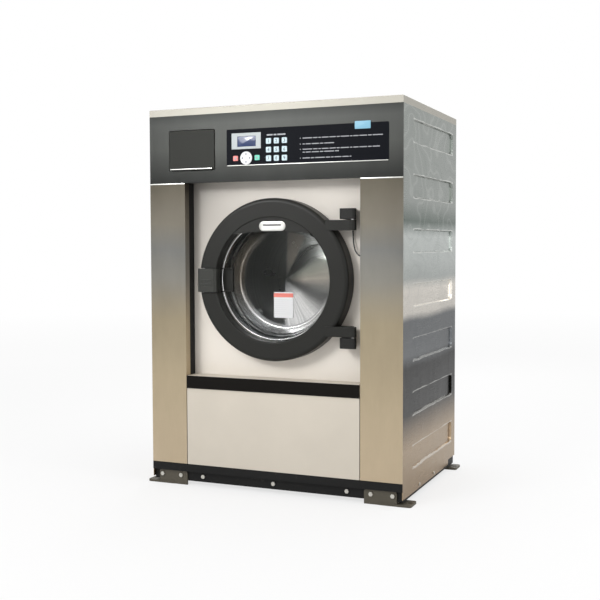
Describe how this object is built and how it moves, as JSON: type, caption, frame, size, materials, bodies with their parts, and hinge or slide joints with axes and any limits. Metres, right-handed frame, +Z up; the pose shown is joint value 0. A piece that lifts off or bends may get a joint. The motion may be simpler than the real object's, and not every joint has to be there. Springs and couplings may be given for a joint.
{
  "type": "washer extractor",
  "caption": "Floor-bolted commercial front-loading washer-extractor with a round glass door, detergent drawer and keyed control panel.",
  "frame": {"origin": "on the floor, at the centre of the four anchor holes of the feet", "axes": "+Z up, -Y towards the user in front of the door, +X to the right as seen from the front"},
  "size_m": [1.024, 0.7503, 1.377],
  "materials": {
    "cream_panel": "satin cream powder coat",
    "grey_side": "satin grey sheet",
    "pillar_steel": "vertical brushed stainless",
    "fascia_steel": "dark horizontal brushed stainless",
    "black_frame": "satin black",
    "zinc_bracket": "dull grey zinc primer",
    "bolt_steel": "zinc plated",
    "lid_steel": "fine brushed stainless",
    "galvanised": "plain galvanised sheet",
    "overlay_film": "satin printed film",
    "key_plastic": "pale blue-grey moulded keys",
    "white_key": "white moulded key",
    "red_key": "red moulded key",
    "green_key": "green moulded key",
    "display_plastic": "dark moulded display frame",
    "strip_black": "satin black strip",
    "drawer_plastic": "dark grey moulded drawer",
    "box_plastic": "white moulded housing",
    "ring_grey": "dark grey powder coat on a casting",
    "handle_grey": "dark grey moulded handle",
    "bowl_glass": "clear pressed glass",
    "black_rubber": "matte rubber",
    "stainless": "bright stainless",
    "cast_iron": "painted iron casting",
    "motor_paint": "blue grey motor enamel",
    "hose_rubber": "black hose",
    "brass": "threaded brass",
    "valve_plastic": "black moulded nylon"
  },
  "bodies": {
    "cabinet": {"base_frame": "black_frame", "floor_brackets": "zinc_bracket", "frame_bolts": "bolt_steel", "front_plinth": "black_frame", "right_pillar": "pillar_steel", "left_pillar": "pillar_steel", "right_side_panel": "grey_side", "left_side_panel": "grey_side", "back_panel": "galvanised", "rear_cover": "galvanised", "top_cover": "lid_steel", "fascia": "fascia_steel", "control_overlay": "overlay_film", "control_board": "display_plastic", "door_panel": "cream_panel", "lower_panel": "cream_panel", "trim_strip": "strip_black", "dispenser_box": "box_plastic", "hinge_brackets": "ring_grey", "door_lock": "valve_plastic", "tub_shell": "stainless", "tub_front": "stainless", "tub_seal": "black_rubber", "bearing_housing": "cast_iron", "bearing_set": "bolt_steel", "drive_belts": "black_rubber", "motor_body": "motor_paint", "inverter_box": "zinc_bracket", "drain_valve": "valve_plastic", "inlet_valves": "brass", "water_hoses": "hose_rubber", "cable_gland": "valve_plastic", "sensor_cable": "black_rubber"},
    "door": {"door_ring": "ring_grey", "door_glass": "bowl_glass", "glass_seal": "black_rubber", "glass_retainer": "stainless", "retainer_screws": "bolt_steel", "door_pins": "bolt_steel", "lock_hook": "stainless"},
    "handle": {"door_handle": "handle_grey"},
    "lock_bolt": {"lock_bolt": "stainless"},
    "drum": {"drum_basket": "stainless", "drum_lifters": "stainless", "drum_shaft": "cast_iron", "drum_pulley": "cast_iron"},
    "motor_rotor": {"motor_pulley": "cast_iron"},
    "drawer": {"detergent_drawer": "drawer_plastic"},
    "key_1_body": {"key_1": "key_plastic"},
    "key_2_body": {"key_2": "key_plastic"},
    "key_3_body": {"key_3": "key_plastic"},
    "key_4_body": {"key_4": "key_plastic"},
    "key_5_body": {"key_5": "key_plastic"},
    "key_6_body": {"key_6": "key_plastic"},
    "key_7_body": {"key_7": "key_plastic"},
    "key_8_body": {"key_8": "key_plastic"},
    "key_9_body": {"key_9": "key_plastic"},
    "stop_key_body": {"stop_key": "red_key"},
    "start_key_body": {"start_key": "green_key"},
    "arrow_pad_body": {"arrow_pad": "white_key"}
  },
  "joints": [
    {"name": "door_swing", "type": "hinge", "parent": "cabinet", "child": "door", "pos_m": [0.302, -0.336, 0.761], "axis": [0, 0, 1], "range_deg": [0, 120]},
    {"name": "handle_pull", "type": "hinge", "parent": "door", "child": "handle", "pos_m": [-0.272, -0.336, 0.7575], "axis": [0, 0, -1], "range_deg": [0, 17], "stiffness_Nm_per_rad": 2, "springref_deg": -11.46},
    {"name": "lock_slide", "type": "slide", "parent": "cabinet", "child": "lock_bolt", "axis": [1, 0, 0], "range_m": [0, 0.023], "stiffness_N_per_m": 200, "springref_m": -0.005},
    {"name": "drum_spin", "type": "hinge", "parent": "cabinet", "child": "drum", "pos_m": [0, 0, 0.761], "axis": [0, 1, 0], "continuous": true},
    {"name": "motor_spin", "type": "hinge", "parent": "cabinet", "child": "motor_rotor", "pos_m": [0.25, 0.289, 0.19], "axis": [0, 1, 0], "continuous": true},
    {"name": "drawer_slide", "type": "slide", "parent": "cabinet", "child": "drawer", "axis": [0, -1, 0], "range_m": [0, 0.16]},
    {"name": "key_1_press", "type": "slide", "parent": "cabinet", "child": "key_1_body", "axis": [0, 1, 0], "range_m": [0, 0.001], "stiffness_N_per_m": 1500, "springref_m": -0.0003},
    {"name": "key_2_press", "type": "slide", "parent": "cabinet", "child": "key_2_body", "axis": [0, 1, 0], "range_m": [0, 0.001], "stiffness_N_per_m": 1500, "springref_m": -0.0003},
    {"name": "key_3_press", "type": "slide", "parent": "cabinet", "child": "key_3_body", "axis": [0, 1, 0], "range_m": [0, 0.001], "stiffness_N_per_m": 1500, "springref_m": -0.0003},
    {"name": "key_4_press", "type": "slide", "parent": "cabinet", "child": "key_4_body", "axis": [0, 1, 0], "range_m": [0, 0.001], "stiffness_N_per_m": 1500, "springref_m": -0.0003},
    {"name": "key_5_press", "type": "slide", "parent": "cabinet", "child": "key_5_body", "axis": [0, 1, 0], "range_m": [0, 0.001], "stiffness_N_per_m": 1500, "springref_m": -0.0003},
    {"name": "key_6_press", "type": "slide", "parent": "cabinet", "child": "key_6_body", "axis": [0, 1, 0], "range_m": [0, 0.001], "stiffness_N_per_m": 1500, "springref_m": -0.0003},
    {"name": "key_7_press", "type": "slide", "parent": "cabinet", "child": "key_7_body", "axis": [0, 1, 0], "range_m": [0, 0.001], "stiffness_N_per_m": 1500, "springref_m": -0.0003},
    {"name": "key_8_press", "type": "slide", "parent": "cabinet", "child": "key_8_body", "axis": [0, 1, 0], "range_m": [0, 0.001], "stiffness_N_per_m": 1500, "springref_m": -0.0003},
    {"name": "key_9_press", "type": "slide", "parent": "cabinet", "child": "key_9_body", "axis": [0, 1, 0], "range_m": [0, 0.001], "stiffness_N_per_m": 1500, "springref_m": -0.0003},
    {"name": "stop_key_press", "type": "slide", "parent": "cabinet", "child": "stop_key_body", "axis": [0, 1, 0], "range_m": [0, 0.001], "stiffness_N_per_m": 1500, "springref_m": -0.0003},
    {"name": "start_key_press", "type": "slide", "parent": "cabinet", "child": "start_key_body", "axis": [0, 1, 0], "range_m": [0, 0.001], "stiffness_N_per_m": 1500, "springref_m": -0.0003},
    {"name": "arrow_pad_press", "type": "slide", "parent": "cabinet", "child": "arrow_pad_body", "axis": [0, 1, 0], "range_m": [0, 0.001], "stiffness_N_per_m": 1500, "springref_m": -0.0003}
  ],
  "couplings": [
    {"joint": "motor_spin", "follows": "drum_spin", "ratio": 4.8889}
  ]
}
